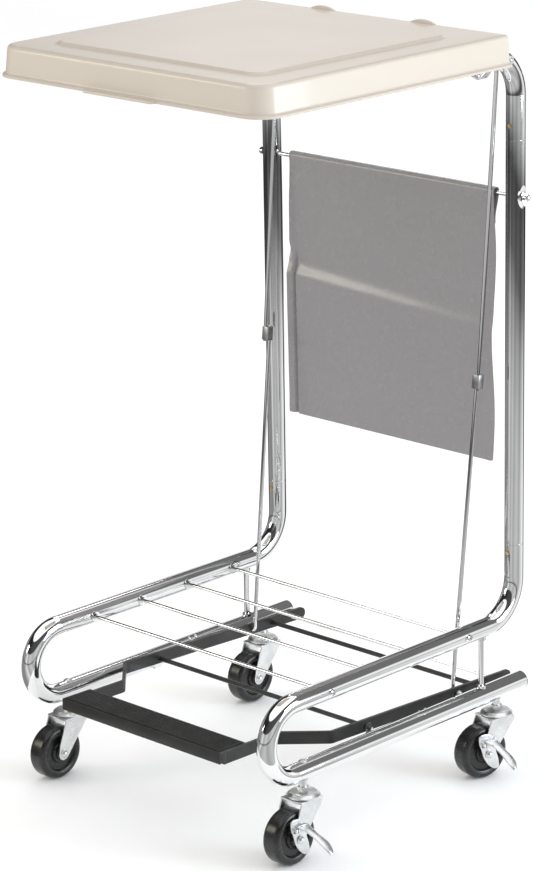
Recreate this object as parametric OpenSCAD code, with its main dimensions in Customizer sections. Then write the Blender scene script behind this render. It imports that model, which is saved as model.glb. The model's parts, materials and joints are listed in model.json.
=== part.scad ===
// Pedal-operated hamper stand on four swivel casters.
// +X is the side with the brake levers, -Y is the pedal side and +Z is up.
// All sizes are in millimetres.

/* [Tube frame] */
// Distance between the centres of the two side frames
frame_w = 418; // [410:1:426]
// Outer diameter of the frame tube
tube_d = 25; // [24.6:0.1:25.2]
// Wall of the frame tube
tube_wall = 1.5; // [1.2:0.1:1.8]
// Height of the lower runner's axis above the floor
runner_z = 112.5; // [112:0.5:113]
// Height of the upper rail's axis above the floor
rail_z = 204.5; // [202:0.5:206]
// Where the front bends of the side frames begin
front_bend_y = -217; // [-220:1:-215]
// Rear ends of the lower runners
runner_end_y = 212; // [205:1:216]
// Front-to-back place of the uprights
upright_y = 198.5; // [198:0.5:199]
// Bend radius at the foot of the uprights and at the hoop
upright_bend_r = 56; // [55:1:57]
// Height of the lower plug-in tube joints
low_joint_z = 304; // [302:1:310]
// Height of the upper plug-in tube joints
top_joint_z = 830; // [820:1:840]
// Height of the bag hoop's axis
hoop_z = 942; // [941:0.5:943]
// Front-to-back place of the hoop's front tube
hoop_front_y = -246; // [-248:1:-240]

/* [Shelf rods] */
// Number of shelf rods
shelf_rods = 4; // [4:1:4]
// Diameter of a shelf rod
shelf_rod_d = 4.5; // [4:0.1:5]
// Place of the first shelf rod
shelf_rod_y = -159.8; // [-165:0.1:-155]
// Distance between shelf rods
shelf_rod_pitch = 85.1; // [80:0.1:88]

/* [Curtain] */
// Height of the curtain rod
curtain_rod_z = 758; // [740:1:770]
// Width of the curtain
curtain_w = 351; // [340:1:352]
// Length of the curtain below its rod
curtain_drop = 350; // [300:1:360]

/* [Lid] */
// Width of the lid at its top edge
lid_w = 444; // [443:1:446]
// Front edge of the lid's top
lid_front_y = -265.5; // [-267:0.5:-264]
// Rear edge of the lid
lid_rear_y = 169; // [168:0.5:170]
// Height of the lid's top edge
lid_top_z = 965; // [964:0.5:966]
// Depth of the lid's skirt
lid_depth = 38.5; // [36:0.5:40]
// Outward slope of the skirt over its depth
lid_draft = 4.5; // [4:0.5:6]
// Wall of the lid
lid_wall = 2.4; // [2.2:0.1:2.6]
// Height of the raised panel above the top edge
panel_rise = 3.2; // [2:0.1:4]

/* [Pedal] */
// Front-to-back place of the pedal's pivot
pivot_y = -58; // [-60:0.5:-56]
// Height of the pedal's pivot
pivot_z = 121; // [120:0.5:121]
// Distance of each pedal arm from the middle
arm_x = 184; // [183:0.5:184]
// Thickness of the arm's flat bar
arm_t = 4; // [3:0.5:4]
// Height of the arm's flat bar
arm_h = 16; // [15:0.5:17]
// Slope of the long arms at rest, in degrees
arm_slope = 2.4; // [2:0.1:2.6]
// Slope of the narrow front part at rest, in degrees
front_slope = 1.0; // [0.5:0.1:1.5]

/* [Casters] */
// Wheel diameter
wheel_d = 70; // [70:1:70]
// Wheel tread width
wheel_w = 26; // [24:1:26]
// Distance from the swivel axis to the wheel axle
trail = 27; // [25:1:28]
// Front casters' swivel axes
caster_front_y = -200; // [-204:1:-196]
// Rear casters' swivel axes
caster_rear_y = 165; // [162:1:168]

/* [Hidden] */
$fn = 96;

// The model is built about its middle plane, then moved so that its origin is
// the bottom centre of its bounding box: the brake levers reach out on one side only.
origin_x = -21.62;
origin_y = 29.37;

tube_r = tube_d / 2;
tube_bore_r = tube_r - tube_wall;
side_x = frame_w / 2;
front_bend_r = (rail_z - runner_z) / 2;
seam = 0.5;              // visible gap where two tubes plug together
plug_r = tube_bore_r - 0.1;  // reduced tube end inside its neighbour
plug_len = 38;
button_r = 3;
button_low_z = 293;
button_top_z = 848;
shelf_z = rail_z;
shelf_rod_end = side_x + 6;
screw_r = 1.8;
rivet_r = 1.6;
screw_dimple = [16, 1.8];    // radius and depth of the pressed seat
rod_dimple = [30, 3.8];

// Hinge of the lid, on the centreline of the hoop's rear bend
hinge_angle = 57.5;
hinge_y = upright_y - upright_bend_r + upright_bend_r * cos(hinge_angle);
hinge_z = hoop_z - upright_bend_r + upright_bend_r * sin(hinge_angle);
hinge_pin_r = 3;
bracket_x = 193;         // inner face of a lid bracket
bracket_t = 2;
running = 0.05;          // radial clearance of a pivot

// Lift rods
lift_r = 2.7;
hook_y = 115;
hook_z = 115;
hook_x = 176.5;
lift_arm = 24.5;         // distance of the lifting pin in front of the lid's hinge
lid_open = 65;           // opening angle of the lid
pin_r = 2.75;
pin_y = hinge_y - lift_arm;
pin_z = hinge_z - lift_arm * tan(lid_open / 2);
rod_hook = [hook_x, hook_y, hook_z];
rod_top = [186.5, 188.5, pin_z];
lower_splice = [180.9, 158.4, 522.5];    // where the clip joins the two rods
upper_splice = [185.6, 155.5, 522.5];
stub = 10.5;             // end of a rod past the middle of the clip

wheel_r = wheel_d / 2;
axle_z = wheel_r;
fork_top_z = 80;
fork_t = 2;
fork_in = 15.4;          // inner half width of the fork
casters = [
    [-side_x, caster_front_y, 0],
    [side_x, caster_front_y, 0],
    [-side_x, caster_rear_y, 0],
    [side_x, caster_rear_y, -12]
];
brake_pin = [23.6, -trail - 1, 51];
steel = "silver";
zinc = "lightgray";
black = "#222222";
beige = "#dcd4c6";
vinyl = "#949394";

// ---------- helpers ----------

module place() {
    translate([origin_x, origin_y, 0]) children();
}

module both_sides() {
    for (side = [-1, 1]) scale_x(side) children();
}

module scale_x(side) {
    if (side < 0) mirror([1, 0, 0]) children();
    else children();
}

function unit(v) = v / norm(v);
function across(d) = unit(abs(d.z) < 0.9 ? cross([0, 0, 1], d) : cross([0, 1, 0], d));
function past(a, b, more) = b + unit(b - a) * more;
function turn(a, b, c) = acos(min(1, max(-1, unit(b - a) * unit(c - b))));
function trim(pts, i, bend_r) =
    i == 0 || i == len(pts) - 1 ? 0 : bend_r * tan(turn(pts[i - 1], pts[i], pts[i + 1]) / 2);

module stand_at(p, x, y, z) {
    multmatrix([
        [x.x, y.x, z.x, p.x],
        [x.y, y.y, z.y, p.y],
        [x.z, y.z, z.z, p.z],
        [0, 0, 0, 1]
    ]) children();
}

module straight_bar(a, b, r) {
    d = unit(b - a);
    stand_at(a, across(d), cross(d, across(d)), d) cylinder(r = r, h = norm(b - a));
}

// Round bar along straight lines between points, with a true bend at each corner.
// On a thin rod each straight runs into its bends by lap, and the bends are a hair thicker.
module bent_bar(pts, bend_r, r, lap = 0) {
    last = len(pts) - 2;
    for (i = [0 : last]) {
        d = unit(pts[i + 1] - pts[i]);
        from = trim(pts, i, bend_r) - (i > 0 ? lap : 0);
        to = norm(pts[i + 1] - pts[i]) - trim(pts, i + 1, bend_r) + (i < last ? lap : 0);
        straight_bar(pts[i] + d * from, pts[i] + d * to, r);
    }
    for (i = [1 : last]) {
        d = unit(pts[i] - pts[i - 1]);
        e = unit(pts[i + 1] - pts[i]);
        n = unit(e - (d * e) * d);
        start = pts[i] - d * trim(pts, i, bend_r);
        stand_at(start + n * bend_r, -n, d, cross(-n, d))
            rotate_extrude(angle = turn(pts[i - 1], pts[i], pts[i + 1]))
                translate([bend_r, 0]) circle(r = r + lap / 15);
    }
}

// Points along a bent centreline, each with its direction
function bend_points(pts, i, bend_r, steps = 10) =
    let (
        d = unit(pts[i] - pts[i - 1]),
        e = unit(pts[i + 1] - pts[i]),
        n = unit(e - (d * e) * d),
        start = pts[i] - d * trim(pts, i, bend_r)
    )
    [for (k = [0 : steps])
        let (a = turn(pts[i - 1], pts[i], pts[i + 1]) * k / steps)
        [start + n * bend_r * (1 - cos(a)) + d * bend_r * sin(a), d * cos(a) + n * sin(a)]];

function bent_line(pts, bend_r) = concat(
    [[pts[0], unit(pts[1] - pts[0])]],
    [for (i = [1 : len(pts) - 2]) each bend_points(pts, i, bend_r)],
    [[pts[len(pts) - 1], unit(pts[len(pts) - 1] - pts[len(pts) - 2])]]
);

function beside(q, w) = [q[0].x - q[1].y * w, q[0].y + q[1].x * w];

// Flat bar on edge along a line in the XY plane
module bent_strip(pts, bend_r, t, h) {
    line = bent_line(pts, bend_r);
    linear_extrude(height = h) polygon(concat(
        [for (q = line) beside(q, t / 2)],
        [for (i = [len(line) - 1 : -1 : 0]) beside(line[i], -t / 2)]
    ));
}

module along_x(r, from, to) {
    translate([from, 0, 0]) rotate([0, 90, 0]) cylinder(r = r, h = to - from);
}

module along_y(r, from, to) {
    translate([0, from, 0]) rotate([-90, 0, 0]) cylinder(r = r, h = to - from);
}

module dome(r, h) {
    ball = (r * r + h * h) / (2 * h);
    intersection() {
        translate([0, 0, h - ball]) sphere(r = ball);
        cylinder(r = r + 0.01, h = h + 0.01);
    }
}

// ---------- tube frame ----------

function base_path(extra) = [
    [side_x, runner_end_y + extra, runner_z],
    [side_x, front_bend_y - front_bend_r, runner_z],
    [side_x, front_bend_y - front_bend_r, rail_z],
    [side_x, upright_y, rail_z],
    [side_x, upright_y, low_joint_z + extra]
];

// The front bend is a half circle, the rear bend a wider quarter circle
module base_bar(r, extra) {
    p = base_path(extra);
    translate([side_x, front_bend_y, runner_z + front_bend_r])
        rotate([0, 90, 0]) rotate([0, 0, 180])
            rotate_extrude(angle = 180) translate([front_bend_r, 0]) circle(r = r);
    translate([side_x, 0, runner_z]) along_y(r, front_bend_y, runner_end_y + extra);
    bent_bar([[side_x, front_bend_y, rail_z], p[3], p[4]], upright_bend_r, r);
}

// Ball that presses a dimple into the tube's outer side, or its wall, grown by the wall
module dimple(y, z, size, grow) {
    translate([side_x + tube_r - size[1] + size[0], y, z]) sphere(r = size[0] + grow);
}

// Lowest place at which a flat disc of radius r rests in a dimple
function seat_x(size, r) =
    side_x + tube_r - size[1] + size[0] - sqrt(size[0] * size[0] - r * r) + 0.02;

function shelf_y(i) = shelf_rod_y + i * shelf_rod_pitch;

// Two small rivets on the inner shoulder of each runner
module at_rivets() {
    lean = 20;
    for (y = [18, 29.5]) translate([side_x, y, runner_z]) rotate([0, -lean, 0]) children();
}

// The front stems pass right through the runner, the rear ones only through its lower wall
module base_frame() {
    ends = [0, shelf_rods - 1];
    difference() {
        base_bar(tube_r, 0);
        difference() {
            base_bar(tube_bore_r, 1);
            for (i = ends) dimple(shelf_y(i), shelf_z, screw_dimple, tube_wall);
        }
        for (i = ends) {
            dimple(shelf_y(i), shelf_z, screw_dimple, 0);
            translate([0, shelf_y(i), shelf_z]) along_x(screw_r + 0.1, side_x, side_x + tube_r + 1);
        }
        for (i = [0 : shelf_rods - 1]) translate([0, shelf_y(i), shelf_z])
            along_x(shelf_rod_d / 2 + 0.15, side_x - tube_r - 1, side_x);
        translate([side_x, caster_front_y, runner_z - tube_r - 1]) cylinder(r = 5.2, h = tube_d + 2);
        translate([side_x, caster_rear_y, runner_z - tube_r - 1]) cylinder(r = 5.2, h = tube_r + 1);
        translate([side_x, upright_y, button_low_z]) along_y(button_r + 0.3, -tube_r - 1, 0);
        at_rivets() cylinder(r = rivet_r + 0.05, h = tube_r + 1);
    }
}

module left_base_frame() { place() color(steel) mirror([1, 0, 0]) base_frame(); }
module right_base_frame() { place() color(steel) base_frame(); }

module upright() {
    difference() {
        translate([side_x, upright_y, low_joint_z]) {
            translate([0, 0, seam]) cylinder(r = tube_r, h = top_joint_z - low_joint_z - 2 * seam);
            translate([0, 0, -plug_len])
                cylinder(r = plug_r, h = top_joint_z - low_joint_z + 2 * plug_len);
        }
        difference() {
            translate([side_x, upright_y, low_joint_z - plug_len - 1])
                cylinder(r = plug_r - tube_wall, h = top_joint_z - low_joint_z + 2 * plug_len + 2);
            dimple(upright_y, curtain_rod_z, rod_dimple, tube_wall);
        }
        dimple(upright_y, curtain_rod_z, rod_dimple, 0);
        for (z = [button_low_z, button_top_z])
            translate([side_x, upright_y, z]) along_y(button_r + 0.3, -tube_r - 1, 0);
        translate([side_x, upright_y, curtain_rod_z]) along_x(3, -tube_r - 1, tube_r + 1);
    }
}

module left_upright() { place() color(steel) mirror([1, 0, 0]) upright(); }
module right_upright() { place() color(steel) upright(); }

function hoop_path(extra) = [
    [-side_x, upright_y, top_joint_z - extra],
    [-side_x, upright_y, hoop_z],
    [-side_x, hoop_front_y, hoop_z],
    [side_x, hoop_front_y, hoop_z],
    [side_x, upright_y, hoop_z],
    [side_x, upright_y, top_joint_z - extra]
];

module bag_hoop() {
    place() color(steel) difference() {
        bent_bar(hoop_path(0), upright_bend_r, tube_r);
        bent_bar(hoop_path(1), upright_bend_r, tube_bore_r);
        both_sides() {
            translate([side_x, upright_y, button_top_z]) along_y(button_r + 0.3, -tube_r - 1, 0);
            translate([0, hinge_y, hinge_z])
                along_x(hinge_pin_r + 0.1, side_x - tube_r - 1, side_x + tube_r + 1);
        }
    }
}

module runner_end_plugs() {
    place() color(black) both_sides() translate([side_x, runner_end_y, runner_z]) {
        along_y(tube_bore_r - 0.1, -14, 0);
        along_y(tube_r - 0.4, 0, 1.6);
    }
}

module brace_posts() {
    r = 3.6;
    y = 134;
    low = runner_z + sqrt(tube_r * tube_r - r * r);
    high = rail_z - sqrt(tube_r * tube_r - r * r);
    place() color(steel) both_sides() difference() {
        union() {
            translate([side_x, y, low - 3]) cylinder(r = r, h = high - low + 6);
            translate([side_x, y, low - 3]) cylinder(r = 6.2, h = 6.2);
            translate([side_x, y, high - 3.2]) cylinder(r = 6.2, h = 6.2);
        }
        for (z = [runner_z, rail_z]) translate([side_x, 0, z]) along_y(tube_r, 90, 170);
    }
}

// ---------- shelf ----------

module shelf_rod(i) {
    place() color(steel) translate([0, shelf_y(i - 1), shelf_z])
        along_x(shelf_rod_d / 2, -shelf_rod_end, shelf_rod_end);
}

module shelf_rod_1() { shelf_rod(1); }
module shelf_rod_2() { shelf_rod(2); }
module shelf_rod_3() { shelf_rod(3); }
module shelf_rod_4() { shelf_rod(4); }

module shelf_rod_collars() {
    place() color(steel) both_sides() for (i = [0 : shelf_rods - 1])
        translate([0, shelf_y(i), shelf_z]) difference() {
            union() {
                along_x(6.6, side_x - tube_r - 2.2, side_x - tube_r + 2.4);
                along_x(4.4, side_x - tube_r - 4.6, side_x - tube_r - 2.2);
            }
            along_x(shelf_rod_d / 2 + 0.05, side_x - tube_r - 6, side_x);
            translate([side_x, 0, 0]) along_y(tube_r, -12, 12);
        }
}

module shelf_rod_screws() {
    head_r = 5;
    seat = seat_x(screw_dimple, head_r);
    place() color(steel) both_sides() for (i = [0, shelf_rods - 1])
        translate([0, shelf_y(i), shelf_z]) {
            along_x(screw_r, shelf_rod_end + 0.1, seat + 0.5);
            translate([seat, 0, 0]) rotate([0, 90, 0]) difference() {
                dome(head_r, 2.6);
                for (a = [0, 90]) rotate([0, 0, a])
                    translate([-2.6, -0.5, 1.4]) cube([5.2, 1, 3]);
            }
        }
}

// ---------- curtain ----------

module curtain_rod() {
    place() color(steel) translate([0, upright_y, curtain_rod_z])
        along_x(2.75, -side_x - tube_r - 4, side_x + tube_r + 4);
}

// Hexagon nut in the dimple with a cap nut behind it
module curtain_rod_nuts() {
    nut_r = 5.4;
    nut_h = 4.8;
    cap_r = 4.8;
    place() color(steel) both_sides()
        translate([seat_x(rod_dimple, nut_r), upright_y, curtain_rod_z])
            rotate([0, 90, 0]) difference() {
                union() {
                    cylinder(r = nut_r, h = nut_h, $fn = 6);
                    cylinder(r = 3.6, h = nut_h + 2);
                    translate([0, 0, nut_h + 1.6]) cylinder(r = cap_r, h = 3.4);
                    translate([0, 0, nut_h + 5]) dome(cap_r, 3.5);
                }
                translate([0, 0, -1]) cylinder(r = 2.8, h = 8.6);
            }
}

module curtain() {
    sleeve_r = 7.5;
    place() color(vinyl) translate([2.5, upright_y, curtain_rod_z]) difference() {
        union() {
            along_x(sleeve_r, -curtain_w / 2, curtain_w / 2);
            translate([-curtain_w / 2, -1.1, -curtain_drop]) cube([curtain_w, 2.2, curtain_drop]);
        }
        along_x(sleeve_r - 2.2, -curtain_w / 2 - 1, curtain_w / 2 + 1);
    }
}

// ---------- pedal ----------

module at_pivot() {
    translate([0, pivot_y, pivot_z]) rotate([-arm_slope, 0, 0]) children();
}

arm_bottom = -5.6;                   // lower edge of the arm below its pivot
arm_rear = 279;                      // rear tip behind the pivot
arm_bend = -57;                      // where the arm turns inward
front_x = 136;                       // the narrow part's distance from the middle
front_tip = -206;                    // front end of the narrow part from the pivot

module at_front() {
    at_pivot() translate([0, arm_bend, arm_bottom])
        rotate([arm_slope - front_slope, 0, 0]) children();
}

module pedal_arm() {
    at_pivot() difference() {
        translate([arm_x - arm_t / 2, arm_bend, arm_bottom]) union() {
            cube([arm_t, arm_rear - arm_h / 2 - arm_bend, arm_h]);
            translate([0, arm_rear - arm_h / 2 - arm_bend, arm_h / 2])
                along_x(arm_h / 2, 0, arm_t);
        }
        along_x(3 + running, arm_x - arm_t, arm_x + arm_t);
    }
    at_front() bent_strip([
        [arm_x, 1, 0], [arm_x, -7, 0], [front_x, -7 - (arm_x - front_x), 0],
        [front_x, front_tip - arm_bend, 0]
    ], 9, arm_t, arm_h);
}

module pedal_arm_drilled() {
    difference() {
        pedal_arm();
        translate([0, hook_y, hook_z]) along_x(lift_r + running, arm_x - arm_t, arm_x + arm_t);
    }
}

module left_pedal_arm() { place() color(black) mirror([1, 0, 0]) pedal_arm_drilled(); }
module right_pedal_arm() { place() color(black) pedal_arm_drilled(); }

plate_w = 272;
plate_back = -111;       // from the arm's bend
plate_front = -159;
plate_t = 2;
lip_h = 15;

module pedal_plate() {
    place() color(black) at_front() {
        translate([-plate_w / 2 - arm_t, plate_front, arm_h])
            cube([plate_w + 2 * arm_t, plate_back - plate_front, plate_t]);
        translate([-plate_w / 2 - arm_t, plate_front, arm_h + plate_t - lip_h])
            cube([plate_w + 2 * arm_t, plate_t, lip_h]);
        translate([-plate_w / 2 + arm_t, plate_back - plate_t, arm_h + plate_t - 8])
            cube([plate_w - 2 * arm_t, plate_t, 8]);
    }
}

module pedal_mat() {
    ribs = 9;
    rib_pitch = 4.4;
    place() color(black) at_front() {
        translate([-plate_w / 2, plate_front + 2.5, arm_h + plate_t]) cube([plate_w, 43, 1.4]);
        for (i = [0 : ribs - 1])
            translate([-plate_w / 2 + 3, plate_front + 5 + i * rib_pitch, arm_h + plate_t + 1.4])
                cube([plate_w - 6, 2, 0.7]);
    }
}

pivot_plate_x = arm_x + arm_t / 2 + 1;
pivot_plate_t = 2.5;

module pedal_pivot_rod() {
    reach = pivot_plate_x + pivot_plate_t + 0.1;
    place() color(black) translate([0, pivot_y, pivot_z]) {
        along_x(3, -reach, reach);
        both_sides() translate([reach, 0, 0]) rotate([0, 90, 0]) dome(4.4, 2);
    }
}

// Plate beside each arm, on a foot welded to the runner's inner side
module pivot_brackets() {
    foot_z = runner_z - 5;
    place() color(steel) both_sides() difference() {
        union() {
            translate([0, pivot_y, pivot_z]) along_x(6.5, pivot_plate_x, pivot_plate_x + pivot_plate_t);
            translate([pivot_plate_x, pivot_y - 6.5, foot_z])
                cube([pivot_plate_t, 13, pivot_z - foot_z]);
            translate([pivot_plate_x + pivot_plate_t - 0.5, pivot_y - 6.5, foot_z])
                cube([side_x - tube_r - pivot_plate_x, 13, 7]);
        }
        translate([0, pivot_y, pivot_z]) along_x(3.05, arm_x, side_x);
        translate([side_x, 0, runner_z]) along_y(tube_r, pivot_y - 20, pivot_y + 20);
    }
}

module runner_rivets() {
    place() color(steel) both_sides() at_rivets() {
        translate([0, 0, tube_r + 0.02]) dome(2.4, 1.3);
        translate([0, 0, tube_bore_r - 0.5]) cylinder(r = rivet_r, h = tube_wall + 0.6);
    }
}

rear_rod_y = 213.5;
tie_rod_y = 242.5;

module pedal_rear_rod() {
    place() color(black) at_pivot() translate([0, rear_rod_y, arm_bottom + arm_h / 2]) {
        along_x(3.1, -arm_x + arm_t / 2, arm_x - arm_t / 2);
        both_sides() translate([arm_x + arm_t / 2, 0, 0]) rotate([0, 90, 0]) dome(4, 1.8);
    }
}

module pedal_tie_rod() {
    place() color(steel) at_pivot() translate([0, tie_rod_y, arm_bottom + arm_h - 4.2])
        along_x(2.2, -arm_x + arm_t / 2, arm_x - arm_t / 2);
}

// ---------- lift rods ----------

// The hook at the bottom turns outward through the pedal arm
module lower_lift_rod() {
    bent_bar([
        [arm_x + arm_t / 2 + 5, hook_y, hook_z], rod_hook, past(rod_hook, lower_splice, stub)
    ], 5, lift_r, 0.3);
}

// The top is cranked forward and ends in a pin through the lid bracket
module upper_lift_rod() {
    bent_bar([
        past(rod_top, upper_splice, stub), rod_top, [rod_top.x, pin_y, pin_z],
        [rod_top.x + 6.2, pin_y, pin_z]
    ], 5, lift_r, 0.3);
    translate([0, pin_y, pin_z]) along_x(pin_r, rod_top.x + 6.1, side_x - tube_r - 0.5);
}

// Pressed clip around the ends of both rods, where they lie side by side
module rod_clip() {
    clip = [10.8, 9.2, 18];
    hole_r = lift_r + 0.1;
    d = unit(unit(lower_splice - rod_hook) + unit(rod_top - upper_splice));
    out = unit(cross([0, 1, 0], d));
    difference() {
        stand_at((lower_splice + upper_splice) / 2, out, cross(d, out), d)
            translate(-clip / 2) cube(clip);
        for (line = [[rod_hook, lower_splice], [rod_top, upper_splice]])
            straight_bar(past(line[0], line[1], -clip.z), past(line[0], line[1], clip.z), hole_r);
    }
}

module hook_cap() {
    translate([arm_x + arm_t / 2 + 0.6, hook_y, hook_z]) rotate([0, 90, 0]) difference() {
        union() {
            cylinder(r = 5.4, h = 2.6);
            translate([0, 0, 2.6]) dome(5.4, 3.4);
        }
        translate([0, 0, -1]) cylinder(r = lift_r + 0.02, h = 5.5);
    }
}

module left_lower_lift_rod() { place() color(steel) mirror([1, 0, 0]) lower_lift_rod(); }
module right_lower_lift_rod() { place() color(steel) lower_lift_rod(); }
module left_upper_lift_rod() { place() color(steel) mirror([1, 0, 0]) upper_lift_rod(); }
module right_upper_lift_rod() { place() color(steel) upper_lift_rod(); }
module left_rod_clip() { place() color(black) mirror([1, 0, 0]) rod_clip(); }
module right_rod_clip() { place() color(black) rod_clip(); }
module left_hook_cap() { place() color(zinc) mirror([1, 0, 0]) hook_cap(); }
module right_hook_cap() { place() color(zinc) hook_cap(); }

// ---------- lid ----------

module hinge_bolts() {
    place() color(steel) both_sides() translate([0, hinge_y, hinge_z]) {
        along_x(hinge_pin_r, bracket_x - 0.4, side_x + tube_r + 0.4);
        translate([side_x + tube_r, 0, 0]) rotate([0, 90, 0]) cylinder(r = 5.4, h = 0.9);
        translate([side_x + tube_r + 0.9, 0, 0]) rotate([0, 90, 0]) dome(3.2, 1.6);
        translate([bracket_x - 0.4, 0, 0]) rotate([0, -90, 0]) cylinder(r = 5, h = 2);
    }
}

// One level slice of the lid's outline, grown by g
module lid_slice(z, g, corner, rear) {
    h = lid_w / 2 + g;
    front = lid_front_y - g;
    translate([0, 0, z]) linear_extrude(height = 0.02) hull() {
        for (side = [-1, 1]) {
            translate([side * (h - corner), front + corner]) circle(r = corner, $fn = 48);
            translate([side * (h - 3), rear - 3]) circle(r = 3, $fn = 24);
        }
    }
}

// The lid's body, drawn in by cut; deep and past make it reach below and behind the lid
module lid_form(cut, deep, past) {
    rear = lid_rear_y + past;
    hull() {
        lid_slice(lid_top_z - lid_depth - deep, lid_draft - cut, 30 - cut, rear);
        lid_slice(lid_top_z - 6, -cut + 0.7, 27 - cut, rear);
        lid_slice(lid_top_z - 2 - cut, -cut - 1.2, 26 - cut, rear);
        lid_slice(lid_top_z - 0.02 - cut, -cut - 4, 24 - cut, rear);
    }
}

// Raised panel with sloping sides, lowered by sink and drawn in by sink
module lid_panel(sink) {
    slope = 3;
    hull() for (step = [[0, 0], [slope, panel_rise]])
        translate([0, 0, lid_top_z + step[1] - 1 - sink]) linear_extrude(height = 1)
            translate([-lid_w / 2 + panel_in + step[0] + sink,
                       lid_front_y + panel_front + step[0] + sink])
                square([lid_w - 2 * (panel_in + step[0] + sink),
                        lid_rear_y - lid_front_y - panel_front - panel_rear - 2 * (step[0] + sink)]);
}

panel_in = 46;           // from the lid's sides
panel_front = 42;        // from the lid's front edge
panel_rear = 55;         // from the lid's rear edge

// Part of a disc that stands at the rear edge and rises above it
module lid_ear() {
    ear_r = 48;
    ear_rise = 4.2;
    ear_low = 19;
    ear_t = 3.5;
    intersection() {
        translate([0, 0, lid_top_z + ear_rise - ear_r])
            along_y(ear_r, lid_rear_y - 0.01, lid_rear_y + ear_t);
        translate([-ear_r, lid_rear_y - 1, lid_top_z - ear_low + ear_rise])
            cube([2 * ear_r, 10, ear_low]);
    }
}

module lid() {
    rim = 2.6;
    tab_w = 122;
    tab_x = -3;
    ear_x = 85;
    rear_flange_w = 350;
    skirt_z = lid_top_z - lid_depth;
    place() color(beige) {
        difference() {
            union() {
                lid_form(0, 0, 0);
                hull() {
                    lid_slice(skirt_z, lid_draft + rim, 32, lid_rear_y);
                    lid_slice(skirt_z + 4, lid_draft + rim - 0.4, 32, lid_rear_y);
                }
                translate([tab_x, lid_front_y - lid_draft - rim - 7, skirt_z])
                    linear_extrude(height = 3.4) polygon([
                        [-tab_w / 2, 10], [-tab_w / 2 + 5, 0], [tab_w / 2 - 5, 0], [tab_w / 2, 10]
                    ]);
                lid_panel(0);
            }
            lid_form(lid_wall, 0.2, 3.4);
            lid_panel(lid_wall);
        }
        translate([-rear_flange_w / 2, lid_rear_y - lid_wall, lid_top_z - 9])
            cube([rear_flange_w, lid_wall, 8]);
        for (side = [-1, 1]) translate([tab_x + side * ear_x, 0, 0]) lid_ear();
    }
}

// The lifting pin rises almost straight while the lid turns, so it slides in a slot
slot_w = 7.6;
slot_from = -2.4;
slot_to = 5;
lid_screw_y = [hinge_y - 44, hinge_y - 28];
lid_screw_x = bracket_x + 12;

module lid_brackets() {
    place() color(steel) both_sides() difference() {
        union() {
            translate([bracket_x, 0, 0]) rotate([90, 0, 90]) linear_extrude(height = bracket_t)
                polygon([
                    [hinge_y - 52, lid_top_z - lid_wall - 0.4], [hinge_y - 20, lid_top_z - lid_wall - 0.4],
                    [hinge_y + 2, hinge_z + 9], [hinge_y + 9, hinge_z + 2], [hinge_y + 6, hinge_z - 8],
                    [hinge_y - 12, hinge_z - 23], [hinge_y - 30, hinge_z - 23.4],
                    [hinge_y - 40, hinge_z - 18], [hinge_y - 52, lid_top_z - lid_wall - 14]
                ]);
            translate([bracket_x, hinge_y - 52, lid_top_z - lid_wall - 2.4])
                cube([20, 32, bracket_t]);
        }
        translate([0, hinge_y, hinge_z]) along_x(hinge_pin_r + running, bracket_x - 1, side_x);
        translate([0, pin_y, pin_z]) rotate([lid_open / 2, 0, 0]) {
            for (y = [slot_from, slot_to])
                translate([0, y, 0]) along_x(slot_w / 2, bracket_x - 1, bracket_x + 3);
            translate([bracket_x - 1, slot_from, -slot_w / 2]) cube([4, slot_to - slot_from, slot_w]);
        }
        for (y = lid_screw_y)
            translate([lid_screw_x, y, lid_top_z - lid_wall - 4]) cylinder(r = 2.2, h = 6);
    }
}

module lid_screws() {
    place() color(zinc) both_sides() for (y = lid_screw_y)
        translate([lid_screw_x, y, lid_top_z - lid_wall - 2.4]) rotate([180, 0, 0]) {
            dome(4, 2.2);
            translate([0, 0, -2.2]) cylinder(r = 2, h = 2.3);
        }
}

module lid_bumpers() {
    gap = 0.3;
    place() color(black) both_sides() for (y = [-190, 60])
        translate([side_x - 4, y, hoop_z + tube_r + gap])
            cylinder(r = 6, h = lid_top_z - lid_wall - hoop_z - tube_r - gap - 0.3);
}

// ---------- snap buttons ----------

module snap_button(z) {
    translate([side_x, upright_y, z]) {
        along_y(button_r, -tube_r - 0.4, -6.5);
        translate([0, -tube_r - 0.4, 0]) rotate([90, 0, 0]) dome(button_r, 1.6);
        along_y(4.4, -7.6, -6.4);
    }
}

module snap_button_left_low() { place() color("goldenrod") mirror([1, 0, 0]) snap_button(button_low_z); }
module snap_button_right_low() { place() color("goldenrod") snap_button(button_low_z); }
module snap_button_left_top() { place() color("goldenrod") mirror([1, 0, 0]) snap_button(button_top_z); }
module snap_button_right_top() { place() color("goldenrod") snap_button(button_top_z); }

module snap_springs() {
    place() color(steel) both_sides() for (z = [button_low_z, button_top_z])
        translate([side_x - 3, upright_y, z]) {
            translate([0, -1.8, -6]) cube([6, 0.8, 26]);
            translate([0, 7.6, -6]) cube([6, 0.8, 26]);
            translate([0, 3.3, 20]) rotate([0, 90, 0]) rotate([0, 0, 90])
                rotate_extrude(angle = 180) translate([4.3, 0]) square([0.8, 6]);
        }
}

// ---------- casters ----------

module at_caster(i) {
    c = casters[i];
    translate([c[0], c[1], 0]) rotate([0, 0, c[2]]) children();
}

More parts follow.
